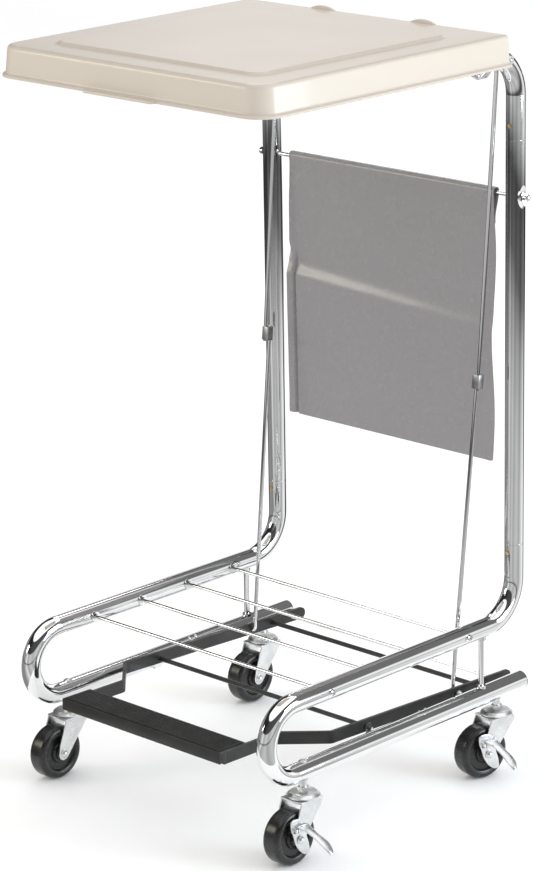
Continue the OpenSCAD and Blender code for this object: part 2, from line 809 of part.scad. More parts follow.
module caster_stems() {
    through = runner_z + tube_r - fork_top_z + 4;
    place() color(steel) for (i = [0 : 3]) at_caster(i) {
        front = casters[i][1] < 0;
        translate([0, 0, fork_top_z - 4]) cylinder(r = 5, h = front ? through : through - tube_r);
        translate([0, 0, fork_top_z - fork_t - 0.4]) rotate([180, 0, 0]) dome(7.6, 2.6);
        if (front) translate([0, 0, runner_z + tube_r]) dome(5.6, 2.2);
        translate([0, 0, fork_top_z + 7]) cylinder(r = 7.6, h = 5.4, $fn = 6);
        rotate_extrude() polygon([
            [4, fork_top_z + 3.4], [16, fork_top_z + 3.4], [18.4, fork_top_z + 0.8], [21, fork_top_z + 0.8],
            [21, fork_top_z + 2.4], [19, fork_top_z + 4.2], [17, fork_top_z + 5.6], [4, fork_top_z + 7.4]
        ]);
    }
}

// Side leg of a fork, in the YZ plane with the swivel axis at y = 0
module fork_leg_outline() {
    hull() {
        translate([-trail, axle_z]) circle(r = 8.5);
        translate([-trail + 3, axle_z + 12]) circle(r = 9);
        translate([-20, fork_top_z - 6]) square([36, 6]);
    }
}

module fork() {
    out = fork_in + fork_t;
    difference() {
        union() {
            translate([0, 0, fork_top_z - fork_t]) intersection() {
                hull() {
                    cylinder(r = 20, h = fork_t);
                    translate([-out, -22, 0]) cube([2 * out, 20, fork_t]);
                }
                translate([-out, -30, -1]) cube([2 * out, 60, fork_t + 2]);
            }
            for (side = [-1, 1]) translate([side < 0 ? -out : fork_in, 0, 0])
                rotate([90, 0, 90]) linear_extrude(height = fork_t) intersection() {
                    fork_leg_outline();
                    translate([-trail - 12, 0]) square([60, fork_top_z]);
                }
            translate([0, 0, fork_top_z]) cylinder(r = 15, h = 1.2);
            translate([0, 0, fork_top_z]) cylinder(r = 18, h = 0.5);
        }
        translate([0, 0, fork_top_z - 5]) cylinder(r = 5 + running, h = 12);
        translate([0, -trail, axle_z]) along_x(3.1, -30, 30);
    }
}

module wheel() {
    half = wheel_w / 2;
    rotate([0, 90, 0]) rotate_extrude() polygon([
        [3.05, -half - 1.6], [8.5, -half - 1.6], [9.5, -half], [13, -half], [15, -half + 4],
        [24, -half + 4], [27, -half + 1], [30, -half + 0.6], [wheel_r - 1.6, -half + 2.4],
        [wheel_r, -half + 6], [wheel_r, half - 6], [wheel_r - 1.6, half - 2.4], [30, half - 0.6],
        [27, half - 1], [24, half - 4], [15, half - 4], [13, half], [9.5, half],
        [8.5, half + 1.6], [3.05, half + 1.6]
    ]);
}

module axle(braked) {
    out = fork_in + fork_t + (braked ? 2.4 : 0);
    along_x(3, -fork_in - fork_t - 0.2, out + 0.2);
    translate([out, 0, 0]) rotate([0, 90, 0]) {
        cylinder(r = 6, h = 1);
        translate([0, 0, 1]) dome(5, 3.2);
    }
    translate([-fork_in - fork_t, 0, 0]) rotate([0, -90, 0]) {
        cylinder(r = 5.6, h = 4, $fn = 6);
        dome(3, 5.4);
    }
}

// Plate on the outer leg, with two ears that hold the lever's pin
module brake_bracket() {
    x = fork_in + fork_t + 0.2;
    difference() {
        union() {
            translate([x, 0, 0]) rotate([90, 0, 90]) linear_extrude(height = 2) hull() {
                translate([-trail - 7, axle_z - 8]) circle(r = 8);
                translate([-trail + 10, axle_z - 13]) circle(r = 6);
                translate([-trail - 11, axle_z + 22]) circle(r = 4);
                translate([-trail + 12, axle_z + 22]) circle(r = 3);
            }
            for (y = [-trail - 13, -trail + 13])
                translate([x, y, 0]) rotate([90, 0, 0]) linear_extrude(height = 1.6) hull() {
                    translate([0, brake_pin.z - 7]) square([1, 14]);
                    translate([brake_pin.x - x, brake_pin.z]) circle(r = 4.2);
                }
        }
        translate([0, -trail, axle_z]) along_x(3.1, 10, 30);
        translate([brake_pin.x, 0, brake_pin.z]) along_y(1.5 + running, -60, 20);
    }
    translate([brake_pin.x, 0, brake_pin.z]) along_y(1.5, -trail - 15.4, -trail + 13.8);
}

// Pressed-steel lever hinged on the bracket's pin, sloping down and outward
module brake_lever() {
    slope = 27;
    half = 8;
    translate(brake_pin) difference() {
        union() {
            along_y(3.2, -half - 2, half + 2);
            rotate([0, slope, 0]) translate([0, -half, 1.2]) cube([30, 2 * half, 2]);
            rotate([0, slope, 0]) for (y = [-half, half - 1.6])
                translate([4, y, -4.8]) cube([18, 1.6, 6.4]);
            rotate([0, slope, 0]) translate([30, 0, 1.2]) hull() {
                translate([0, -half, 0]) cube([1, 2 * half, 2]);
                translate([13, -half + 2, 0]) cylinder(r = 3, h = 2, $fn = 32);
                translate([13, half - 2, 0]) cylinder(r = 3, h = 2, $fn = 32);
            }
        }
        along_y(1.5 + running, -20, 20);
    }
}

module fork_left_front() { place() color(zinc) at_caster(0) fork(); }
module fork_right_front() { place() color(zinc) at_caster(1) fork(); }
module fork_left_rear() { place() color(zinc) at_caster(2) fork(); }
module fork_right_rear() { place() color(zinc) at_caster(3) fork(); }

module at_axle(i) {
    at_caster(i) translate([0, -trail, axle_z]) children();
}

module wheel_left_front() { place() color(black) at_axle(0) wheel(); }
module wheel_right_front() { place() color(black) at_axle(1) wheel(); }
module wheel_left_rear() { place() color(black) at_axle(2) wheel(); }
module wheel_right_rear() { place() color(black) at_axle(3) wheel(); }
module axle_left_front() { place() color(zinc) at_axle(0) axle(false); }
module axle_right_front() { place() color(zinc) at_axle(1) axle(true); }
module axle_left_rear() { place() color(zinc) at_axle(2) axle(false); }
module axle_right_rear() { place() color(zinc) at_axle(3) axle(true); }
module brake_bracket_front() { place() color(zinc) at_caster(1) brake_bracket(); }
module brake_bracket_rear() { place() color(zinc) at_caster(3) brake_bracket(); }
module brake_lever_front() { place() color(zinc) at_caster(1) brake_lever(); }
module brake_lever_rear() { place() color(zinc) at_caster(3) brake_lever(); }

left_base_frame();
right_base_frame();
left_upright();
right_upright();
bag_hoop();
runner_end_plugs();
brace_posts();
shelf_rod_1();
shelf_rod_2();
shelf_rod_3();
shelf_rod_4();
shelf_rod_collars();
shelf_rod_screws();
curtain_rod();
curtain_rod_nuts();
curtain();
pedal_pivot_rod();
pivot_brackets();
runner_rivets();
left_pedal_arm();
right_pedal_arm();
pedal_plate();
pedal_mat();
pedal_rear_rod();
pedal_tie_rod();
left_lower_lift_rod();
right_lower_lift_rod();
left_upper_lift_rod();
right_upper_lift_rod();
left_rod_clip();
right_rod_clip();
left_hook_cap();
right_hook_cap();
hinge_bolts();
lid();
lid_brackets();
lid_screws();
lid_bumpers();
snap_springs();
snap_button_left_low();
snap_button_right_low();
snap_button_left_top();
snap_button_right_top();
caster_stems();
fork_left_front();
fork_right_front();
fork_left_rear();
fork_right_rear();
wheel_left_front();
wheel_right_front();
wheel_left_rear();
wheel_right_rear();
axle_left_front();
axle_right_front();
axle_left_rear();
axle_right_rear();
brake_bracket_front();
brake_bracket_rear();
brake_lever_front();
brake_lever_rear();
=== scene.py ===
"""Looks for the pedal-operated rolling hamper stand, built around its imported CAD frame."""

import json
import math

import bmesh
import bpy
from mathutils import Matrix, Vector, noise

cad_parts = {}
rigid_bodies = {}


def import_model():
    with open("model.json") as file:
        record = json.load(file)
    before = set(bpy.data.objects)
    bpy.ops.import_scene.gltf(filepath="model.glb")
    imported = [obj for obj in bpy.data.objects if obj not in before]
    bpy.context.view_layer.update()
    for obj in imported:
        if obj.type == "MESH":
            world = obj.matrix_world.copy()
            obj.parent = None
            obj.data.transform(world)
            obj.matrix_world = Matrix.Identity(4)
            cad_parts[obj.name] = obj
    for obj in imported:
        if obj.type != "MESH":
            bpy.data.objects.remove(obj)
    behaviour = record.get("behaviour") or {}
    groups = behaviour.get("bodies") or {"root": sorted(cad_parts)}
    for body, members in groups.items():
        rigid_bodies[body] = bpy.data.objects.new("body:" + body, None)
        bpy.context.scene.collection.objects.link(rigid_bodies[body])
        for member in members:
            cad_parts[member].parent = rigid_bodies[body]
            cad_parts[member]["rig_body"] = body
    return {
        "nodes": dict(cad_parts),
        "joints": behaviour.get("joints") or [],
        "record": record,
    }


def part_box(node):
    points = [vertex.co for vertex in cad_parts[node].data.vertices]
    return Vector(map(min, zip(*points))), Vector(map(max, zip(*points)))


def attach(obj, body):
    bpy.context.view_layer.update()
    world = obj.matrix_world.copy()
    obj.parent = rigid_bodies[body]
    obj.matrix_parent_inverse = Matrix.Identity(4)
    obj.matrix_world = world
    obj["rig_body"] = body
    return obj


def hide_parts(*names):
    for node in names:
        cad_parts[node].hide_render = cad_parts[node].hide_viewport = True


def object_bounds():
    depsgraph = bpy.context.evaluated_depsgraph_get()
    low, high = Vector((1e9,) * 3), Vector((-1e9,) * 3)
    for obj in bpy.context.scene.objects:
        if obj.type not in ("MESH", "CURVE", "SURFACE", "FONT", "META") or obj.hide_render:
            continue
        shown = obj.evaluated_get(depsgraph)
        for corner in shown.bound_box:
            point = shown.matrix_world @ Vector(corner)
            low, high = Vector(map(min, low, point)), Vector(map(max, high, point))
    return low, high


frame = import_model()
cad_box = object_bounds()

MM = 0.001
NODES = frame["nodes"]
JOINTS = {j["name"]: j for j in frame["joints"]}
scene = bpy.context.scene


# ---------- camera ----------

CAMERA_PLACE = Vector((2.80213, -2.92726, 1.67292))
CAMERA_TURN = math.radians(44.052)      # the view comes from between the front and the right side
CAMERA_PITCH = math.radians(16.629)
CAMERA_ROLL = math.radians(-0.991)
CAMERA_LENS = 138.915
SENSOR_WIDTH = 36


def view_axes():
    """Right, up and backward directions of the camera."""
    back = Vector((math.sin(CAMERA_TURN) * math.cos(CAMERA_PITCH),
                   -math.cos(CAMERA_TURN) * math.cos(CAMERA_PITCH),
                   math.sin(CAMERA_PITCH)))
    level = Vector((math.cos(CAMERA_TURN), math.sin(CAMERA_TURN), 0))
    rise = back.cross(level)
    right = math.cos(CAMERA_ROLL) * level + math.sin(CAMERA_ROLL) * rise
    up = math.cos(CAMERA_ROLL) * rise - math.sin(CAMERA_ROLL) * level
    return right, up, back


def make_camera():
    data = bpy.data.cameras.new("camera")
    data.lens = CAMERA_LENS
    data.sensor_width = SENSOR_WIDTH
    camera = bpy.data.objects.new("camera", data)
    scene.collection.objects.link(camera)
    turn = Matrix(view_axes()).transposed().to_4x4()
    camera.matrix_world = Matrix.Translation(CAMERA_PLACE) @ turn
    scene.camera = camera


# ---------- node helpers ----------

class NodeTree:
    """Short calls for building a node tree."""

    def __init__(self, tree):
        self.tree = tree

    def node(self, kind, **settings):
        made = self.tree.nodes.new(kind)
        for key, value in settings.items():
            setattr(made, key, value)
        return made

    def link(self, source, target):
        self.tree.links.new(source, target)

    def math(self, operation, first, second=0.0):
        made = self.node("ShaderNodeMath", operation=operation)
        for socket, value in zip(made.inputs, (first, second)):
            if isinstance(value, (int, float)):
                socket.default_value = value
            else:
                self.link(value, socket)
        return made.outputs["Value"]

    def ramp(self, source, *stops):
        """Colour ramp: each stop is (position, colour or grey)."""
        made = self.node("ShaderNodeValToRGB")
        elements = made.color_ramp.elements
        while len(elements) < len(stops):
            elements.new(0.5)
        for element, (position, colour) in zip(elements, stops):
            element.position = position
            element.color = colour if isinstance(colour, tuple) else (colour, colour, colour, 1)
        self.link(source, made.inputs["Fac"])
        return made.outputs["Color"]


class Shader(NodeTree):
    """A material's node tree, which varies with the place on the object."""

    def __init__(self, name):
        self.material = bpy.data.materials.new(name)
        self.material.use_nodes = True
        super().__init__(self.material.node_tree)
        self.bsdf = self.tree.nodes["Principled BSDF"]
        self.place = self.node("ShaderNodeTexCoord").outputs["Object"]

    def set(self, **values):
        for key, value in values.items():
            self.bsdf.inputs[key.replace("_", " ")].default_value = value

    def texture(self, kind, scale, **settings):
        made = self.node(kind, **settings)
        made.inputs["Scale"].default_value = scale
        self.link(self.place, made.inputs["Vector"])
        return made

    def noise(self, scale, detail=3.0, rough=0.5):
        made = self.texture("ShaderNodeTexNoise", scale)
        made.inputs["Detail"].default_value = detail
        made.inputs["Roughness"].default_value = rough
        return made.outputs["Fac"]

    def voronoi(self, scale):
        return self.texture("ShaderNodeTexVoronoi", scale).outputs["Distance"]

    def bands(self, direction, scale):
        return self.texture("ShaderNodeTexWave", scale, bands_direction=direction).outputs["Fac"]

    def range(self, source, low, high, start=0.0, end=1.0):
        made = self.node("ShaderNodeMapRange")
        made.inputs["From Min"].default_value = start
        made.inputs["From Max"].default_value = end
        made.inputs["To Min"].default_value = low
        made.inputs["To Max"].default_value = high
        self.link(source, made.inputs["Value"])
        return made.outputs["Result"]

    def colour(self, source):
        self.link(source, self.bsdf.inputs["Base Color"])

    def rough(self, source):
        self.link(source, self.bsdf.inputs["Roughness"])

    def bump(self, source, depth, strength=1.0):
        """Adds a bump on top of the ones before it; depth is in metres."""
        made = self.node("ShaderNodeBump")
        made.inputs["Strength"].default_value = strength
        made.inputs["Distance"].default_value = depth
        self.link(source, made.inputs["Height"])
        before = self.bsdf.inputs["Normal"]
        if before.is_linked:
            self.link(before.links[0].from_socket, made.inputs["Normal"])
        self.link(made.outputs["Normal"], before)


# ---------- materials ----------

def chrome_material():
    s = Shader("polished_chrome")
    s.set(Metallic=1.0)
    s.colour(s.ramp(s.noise(9, 4), (0.35, (0.83, 0.835, 0.84, 1)), (0.65, (0.89, 0.893, 0.895, 1))))
    s.rough(s.range(s.noise(38, 5, 0.65), 0.03, 0.08, 0.3, 0.75))
    s.bump(s.noise(14, 2), 0.0004, 0.08)
    return s.material


def zinc_material(name="zinc_plate", rough=(0.22, 0.42)):
    s = Shader(name)
    s.set(Metallic=1.0)
    s.colour(s.ramp(s.noise(60, 5, 0.6), (0.3, (0.66, 0.67, 0.68, 1)), (0.55, (0.78, 0.785, 0.78, 1)),
                    (0.8, (0.70, 0.71, 0.74, 1))))
    s.rough(s.range(s.noise(180, 5, 0.7), rough[0], rough[1], 0.3, 0.7))
    s.bump(s.noise(350, 4), 0.00008, 0.35)
    s.bump(s.noise(1500, 2), 0.00002, 0.5)
    return s.material


def brass_material():
    s = Shader("button_brass")
    s.set(Metallic=1.0)
    s.colour(s.ramp(s.noise(300, 4), (0.3, (0.55, 0.38, 0.13, 1)), (0.7, (0.80, 0.62, 0.28, 1))))
    s.rough(s.range(s.noise(500, 4), 0.18, 0.4))
    s.bump(s.noise(1200, 2), 0.00002, 0.4)
    return s.material


def lid_material():
    s = Shader("lid_abs")
    s.set(Coat_Weight=0.30, Coat_Roughness=0.07, Specular_IOR_Level=0.42)
    s.colour(s.ramp(s.noise(2.2, 2), (0.3, (0.538, 0.478, 0.410, 1)), (0.7, (0.550, 0.490, 0.421, 1))))
    s.rough(s.range(s.noise(12, 2), 0.34, 0.40, 0.3, 0.7))
    s.bump(s.noise(5, 1), 0.0005, 0.05)
    return s.material


def vinyl_material():
    s = Shader("curtain_vinyl")
    s.set(Specular_IOR_Level=0.62)
    tone = s.math("ADD", s.noise(2.4, 3), s.math("MULTIPLY", s.noise(700, 3), 0.25))
    s.colour(s.ramp(tone, (0.40, (0.264, 0.256, 0.262, 1)), (0.85, (0.280, 0.272, 0.279, 1))))
    s.rough(s.range(s.noise(60, 4), 0.24, 0.30))
    weave = s.math("ADD", s.bands("X", 420), s.bands("Z", 420))
    s.bump(weave, 0.00004, 0.20)
    s.bump(s.noise(1100, 4, 0.65), 0.00004, 0.25)
    return s.material


def black_paint_material():
    s = Shader("black_paint")
    s.colour(s.ramp(s.noise(25, 4), (0.3, (0.011, 0.0105, 0.010, 1)), (0.7, (0.022, 0.021, 0.020, 1))))
    s.rough(s.range(s.noise(90, 5, 0.65), 0.30, 0.48, 0.3, 0.7))
    s.bump(s.noise(420, 3), 0.00010, 0.35)
    return s.material


def rubber_material(name, grey=0.018, rough=(0.55, 0.72), grain=700):
    s = Shader(name)
    s.set(Specular_IOR_Level=0.4)
    low, high = grey * 0.75, grey * 1.35
    s.colour(s.ramp(s.noise(40, 5, 0.6), (0.3, (low, low, low, 1)), (0.7, (high, high, high, 1))))
    s.rough(s.range(s.noise(120, 4), rough[0], rough[1]))
    s.bump(s.noise(grain, 4, 0.7), 0.00012, 0.4)
    return s.material


def tyre_material():
    s = Shader("tyre_rubber")
    s.set(Specular_IOR_Level=0.5)
    s.colour(s.ramp(s.noise(55, 5, 0.6), (0.35, (0.008, 0.0078, 0.0078, 1)),
                    (0.7, (0.016, 0.0157, 0.0155, 1))))
    s.rough(s.range(s.noise(70, 4), 0.22, 0.32))
    s.bump(s.noise(500, 4, 0.7), 0.00006, 0.3)
    return s.material


def black_plastic_material():
    s = Shader("black_plastic")
    s.colour(s.ramp(s.noise(80, 3), (0.3, (0.020, 0.020, 0.021, 1)), (0.7, (0.035, 0.035, 0.036, 1))))
    s.rough(s.range(s.noise(200, 3), 0.34, 0.5))
    s.bump(s.voronoi(1500), 0.00004, 0.3)
    return s.material


def spring_material():
    s = Shader("spring_steel")
    s.set(Metallic=1.0)
    s.colour(s.ramp(s.noise(120, 4), (0.3, (0.30, 0.30, 0.31, 1)), (0.7, (0.45, 0.45, 0.46, 1))))
    s.rough(s.range(s.noise(200, 3), 0.25, 0.4))
    return s.material


def make_materials():
    return {
        "chrome": chrome_material(),
        "bracket_steel": zinc_material("bright_steel", (0.12, 0.26)),
        "zinc": zinc_material(),
        "button_brass": brass_material(),
        "lid_plastic": lid_material(),
        "curtain_vinyl": vinyl_material(),
        "black_paint": black_paint_material(),
        "pedal_rubber": rubber_material("pedal_rubber"),
        "bumper_rubber": rubber_material("bumper_rubber", 0.03),
        "wheel_rubber": tyre_material(),
        "black_plastic": black_plastic_material(),
        "spring_steel": spring_material(),
    }


def paint(piece, material):
    piece.data.materials.clear()
    piece.data.materials.append(material)


def paint_cad_nodes(materials):
    for part in frame["record"]["subparts"]:
        paint(NODES[part["node"]], materials[part["material_slot"]])


# ---------- mesh helpers ----------

# Turns for prism and lathe: a prism's outline lies in its XY plane and it rises along Z
FLAT = Matrix.Identity(4)
OUTLINE_IN_XZ = Matrix(((1, 0, 0, 0), (0, 0, 1, 0), (0, 1, 0, 0), (0, 0, 0, 1)))
OUTLINE_IN_YZ = Matrix(((0, 0, 1, 0), (1, 0, 0, 0), (0, 1, 0, 0), (0, 0, 0, 1)))
X_TO_Y = Matrix(((0, 1, 0, 0), (1, 0, 0, 0), (0, 0, 1, 0), (0, 0, 0, 1)))


def in_metres(points):
    return [(x * MM, y * MM) for x, y in points]


def add_piece(name, mesh):
    piece = bpy.data.objects.new(name, mesh)
    scene.collection.objects.link(piece)
    return piece


def dress(piece, body, slot, materials):
    """Gives a finished piece its material and the CAD body that it moves with."""
    paint(piece, materials[slot])
    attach(piece, body)


def mesh_from(bm, name, sharp=None):
    if sharp is not None:
        soften_shading(bm, sharp)
    mesh = bpy.data.meshes.new(name)
    bm.to_mesh(mesh)
    bm.free()
    return mesh


def soften_shading(bm, sharp):
    """Smooth shading, with a crease at edges that turn more than sharp degrees."""
    for face in bm.faces:
        face.smooth = True
    limit = math.radians(sharp)
    for edge in bm.edges:
        edge.smooth = len(edge.link_faces) == 2 and edge.calc_face_angle(0) < limit


def skin_rings(bm, rings, closed=True, skip=()):
    """Quads between neighbouring rings of vertices, leaving out the given segments."""
    for low, high in zip(rings, rings[1:]):
        count = len(low)
        for i in range(count if closed else count - 1):
            if i in skip:
                continue
            j = (i + 1) % count
            bm.faces.new((low[i], low[j], high[j], high[i]))


def apply_modifiers(piece, sharp=None):
    """Replaces the mesh with its evaluated form, so that no modifier is left."""
    evaluated = piece.evaluated_get(bpy.context.evaluated_depsgraph_get())
    mesh = bpy.data.meshes.new_from_object(evaluated)
    old = piece.data
    piece.modifiers.clear()
    piece.data = mesh
    bpy.data.meshes.remove(old)
    if sharp is not None:
        bm = bmesh.new()
        bm.from_mesh(mesh)
        soften_shading(bm, sharp)
        bm.to_mesh(mesh)
        bm.free()


def add_modifier(piece, kind, **settings):
    modifier = piece.modifiers.new(kind.lower(), kind)
    for key, value in settings.items():
        setattr(modifier, key, value)
    return modifier


def bevel_edges(piece, width, sharp=30, segments=2):
    add_modifier(piece, "BEVEL", width=width, segments=segments, limit_method="ANGLE",
                 angle_limit=math.radians(sharp), harden_normals=False, use_clamp_overlap=True)


def lathe(bm, profile, turn, steps=96):
    """Surface of revolution about X; profile is (distance along X, radius)."""
    rings = []
    for k in range(steps):
        a = 2 * math.pi * k / steps
        rings.append([bm.verts.new(turn @ Vector((x, r * math.cos(a), r * math.sin(a))))
                      for x, r in profile])
    rings.append(rings[0])
    skin_rings(bm, rings, closed=False)


def arc(centre_x, centre_r, radius, start, end, steps=8):
    """Points of a profile's round corner, from start to end degrees."""
    return [(centre_x + radius * math.cos(math.radians(start + (end - start) * k / steps)),
             centre_r + radius * math.sin(math.radians(start + (end - start) * k / steps)))
            for k in range(steps + 1)]


def prism(bm, outline, low, high, turn):
    """Solid with the given outline in its own XY plane, between two heights."""
    bottom = [bm.verts.new(turn @ Vector((x, y, low))) for x, y in outline]
    top = [bm.verts.new(turn @ Vector((x, y, high))) for x, y in outline]
    skin_rings(bm, [bottom, top])
    bm.faces.new(top)
    bm.faces.new(bottom[::-1])


# ---------- pressed and cut metal from the CAD shapes ----------

# Width of each node's rounded edges in mm
SOFTENED = {
    "fork_left_front": 0.5, "fork_right_front": 0.5, "fork_left_rear": 0.5, "fork_right_rear": 0.5,
    "lid_brackets": 0.4, "left_pedal_arm": 0.5, "right_pedal_arm": 0.5,
    "left_rod_clip": 0.5, "right_rod_clip": 0.5, "pedal_plate": 0.6, "pedal_mat": 0.35,
}


def soften_node(name, width, materials):
    """A copy of a CAD node with its cut edges rounded, to catch the light as real metal does."""
    source = NODES[name]
    bm = bmesh.new()
    bm.from_mesh(source.data)
    bmesh.ops.remove_doubles(bm, verts=bm.verts, dist=0.00001)
    bmesh.ops.dissolve_limit(bm, angle_limit=math.radians(0.8), verts=bm.verts, edges=bm.edges)
    piece = add_piece(name + "_soft", mesh_from(bm, name + "_soft"))
    bevel_edges(piece, width * MM, 35)
    apply_modifiers(piece, 40)
    slot = next(p["material_slot"] for p in frame["record"]["subparts"] if p["node"] == name)
    dress(piece, source["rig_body"], slot, materials)
    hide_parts(name)


def close_plate_corners(materials):
    """Small blocks that close the gap between the pedal plate's front lip and the arms' tips."""
    low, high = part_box("pedal_plate")
    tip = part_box("right_pedal_arm")[0].y
    thick, inset = 4 * MM, 0.4 * MM
    front, rear = low.y + 1 * MM, tip + 2 * MM
    bm = bmesh.new()
    for x in (low.x + inset, high.x - thick):
        end = x + thick - inset
        prism(bm, [(x, front), (end, front), (end, rear), (x, rear)],
              low.z + inset, high.z - 0.6 * MM, FLAT)
    bmesh.ops.recalc_face_normals(bm, faces=bm.faces)
    corners = add_piece("plate_corners", mesh_from(bm, "plate_corners"))
    bevel_edges(corners, 0.4 * MM, 40)
    apply_modifiers(corners, 40)
    dress(corners, "pedal", "black_paint", materials)


# ---------- lid ----------

EAR_RISE = 4.2 * MM     # ears above the lid's top edge
EAR_THICK = 3.5 * MM    # ears behind the lid's rear edge
TAB_REACH = 7 * MM      # handle tab in front of the rim
RIM_OUT = 7.1 * MM      # rim outside the top edge
LID_WALL = 2.3 * MM
DETAIL_SHIFT = -3 * MM  # tab and ears, beside the lid's middle
TAB_HALF = 61 * MM
TAB_CHAMFER = (5 * MM, 6 * MM)
TAB_ROOT = 5 * MM       # tab behind the rim's front edge
TAB_THICK = 3.4 * MM
FLANGE_HALF = 175 * MM
FLANGE_LOW = 9 * MM     # lower edge of the rear flange, below the lid's top edge
FLANGE_TOP = 1.2 * MM
EAR_SPACING = 85 * MM   # from the middle of the pair to each ear
EAR_R = 48 * MM
EAR_LOW = 14.8 * MM     # straight lower edge of an ear, below the lid's top edge
EAR_STEPS = 24
CORNER_STEPS = 10


def rounded_outline(half_w, front, rear, front_r, rear_r):
    """Rectangle with round corners, anticlockwise from above, from the front right corner."""
    corners = (
        (half_w - front_r, front + front_r, front_r, -90),
        (half_w - rear_r, rear - rear_r, rear_r, 0),
        (-half_w + rear_r, rear - rear_r, rear_r, 90),
        (-half_w + front_r, front + front_r, front_r, 180),
    )
    return [(x + r * math.cos(math.radians(start + 90 * k / CORNER_STEPS)),
             y + r * math.sin(math.radians(start + 90 * k / CORNER_STEPS)))
            for x, y, r, start in corners for k in range(CORNER_STEPS + 1)]


# Rings of the lid's outer face in mm: inset at the sides, front and rear, height above the
# top edge, and corner radius at the front and rear
LID_TOP_RINGS = (
    (53, 49, 61, 3.2, 16, 12),
    (50, 46, 58.5, 3.2, 19, 15),
    (48.6, 44.6, 57.2, 2.7, 20, 16),
    (47.2, 43.2, 55.9, 1.4, 21.5, 17),
    (46, 42, 54.8, 0.35, 22.5, 18),
    (44.6, 40.6, 53.5, 0, 24, 19),
    (42, 38, 51, 0, 26, 20),
    (6.5, 6.5, 6, 0, 25, 3),
)
LID_SIDE_RINGS = (
    (3.4, 3.4, 0, -0.3, 26, 3),
    (1.5, 1.5, 0, -1.1, 26.5, 3),
    (0.3, 0.3, 0, -2.6, 27, 3),
    (-0.3, -0.3, 0, -4.6, 27.5, 3),
    (-0.45, -0.45, 0, -6.2, 27.6, 3),
    (-2.85, -2.85, 0, -31.8, 29.2, 3),
    (-3.0, -3.0, 0, -33, 29.4, 3),
    (-3.9, -3.9, 0, -34.3, 30.4, 3),
    (-6.1, -6.1, 0, -34.9, 32.5, 3),
    (-7.1, -7.1, 0, -36, 33.5, 3),
    (-7.1, -7.1, 0, -38.4, 33.5, 3),
)


def lid_outline(ring, size):
    side, front, rear, rise, front_r, rear_r = (value * MM for value in ring)
    half_w, front_y, rear_y, top_z = size
    points = rounded_outline(half_w - side, front_y + front, rear_y - rear, front_r, rear_r)
    return [Vector((x, y, top_z + rise)) for x, y in points]


def make_lid(materials):
    low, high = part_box("lid")
    middle = (low.x + high.x) / 2
    shift = Matrix.Translation((middle, 0, 0))
    size = ((high.x - low.x) / 2 - RIM_OUT, low.y + TAB_REACH + RIM_OUT, high.y - EAR_THICK,
            high.z - EAR_RISE)
    bm = bmesh.new()
    rings = [[bm.verts.new(shift @ p) for p in lid_outline(ring, size)]
             for ring in LID_TOP_RINGS + LID_SIDE_RINGS]
    bm.faces.new(rings[0])
    deck = len(LID_TOP_RINGS) + 1
    rear_gap = 2 * (CORNER_STEPS + 1) - 1
    skin_rings(bm, rings[:deck][::-1])
    skin_rings(bm, rings[deck - 1:][::-1], skip=(rear_gap,))
    shell = add_piece("lid_shell", mesh_from(bm, "lid_shell"))
    add_modifier(shell, "SOLIDIFY", thickness=LID_WALL, offset=-1, use_even_offset=True)
    bevel_edges(shell, 0.45 * MM, 60)
    apply_modifiers(shell, 38)
    dress(shell, "lid", "lid_plastic", materials)
    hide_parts("lid")
    make_lid_details(middle, size, low, high, materials)


def make_lid_details(middle, size, low, high, materials):
    """Handle tab, the rear flange between the lift rods, and the two ears."""
    rear_y, top_z = size[2:]
    bm = bmesh.new()
    left = middle + DETAIL_SHIFT - TAB_HALF
    right = middle + DETAIL_SHIFT + TAB_HALF
    root = low.y + TAB_REACH + TAB_ROOT
    nick, back = TAB_CHAMFER
    prism(bm, [(left, root), (left, low.y + back), (left + nick, low.y),
               (right - nick, low.y), (right, low.y + back), (right, root)],
          low.z, low.z + TAB_THICK, FLAT)
    prism(bm, [(middle - FLANGE_HALF, rear_y - LID_WALL), (middle + FLANGE_HALF, rear_y - LID_WALL),
               (middle + FLANGE_HALF, rear_y), (middle - FLANGE_HALF, rear_y)],
          top_z - FLANGE_LOW, top_z - FLANGE_TOP, FLAT)
    chord = math.degrees(math.acos((EAR_R - EAR_RISE - EAR_LOW) / EAR_R))
    turns = [math.radians(-chord + 2 * chord * k / EAR_STEPS) for k in range(EAR_STEPS + 1)]
    for side in (-1, 1):
        centre = middle + DETAIL_SHIFT + side * EAR_SPACING
        outline = [(centre + EAR_R * math.sin(a), top_z + EAR_RISE - EAR_R + EAR_R * math.cos(a))
                   for a in turns]
        prism(bm, outline, rear_y - 1 * MM, rear_y + EAR_THICK, OUTLINE_IN_XZ)
    bmesh.ops.recalc_face_normals(bm, faces=bm.faces)
    details = add_piece("lid_details", mesh_from(bm, "lid_details"))
    bevel_edges(details, 1.1 * MM, 40, 3)
    apply_modifiers(details, 40)
    dress(details, "lid", "lid_plastic", materials)


# ---------- curtain ----------

SLEEVE_R = 5.6 * MM
SLEEVE_FOOT = 7 * MM    # where the sheet starts to go round the rod, below its axis
HEM_DROP = 40 * MM      # weld along the lower edge of the turned-over hem, below the rod
SHEET_GAP = 1.3 * MM    # hem behind the sheet
VINYL_T = 0.9 * MM
DROP_ROWS = 64
HEM_ROWS = 8
SHEET_FRONT = 4.6 * MM  # sheet in front of the rod's axis
SHEET_LIFT = 3.5 * MM   # sheet's lower edge above the CAD curtain's
EDGE_STRIP = 24 * MM    # finer columns along the folded left edge
EDGE_COLUMNS = 20
COLUMNS = 64
HANG_FRAMES = 45


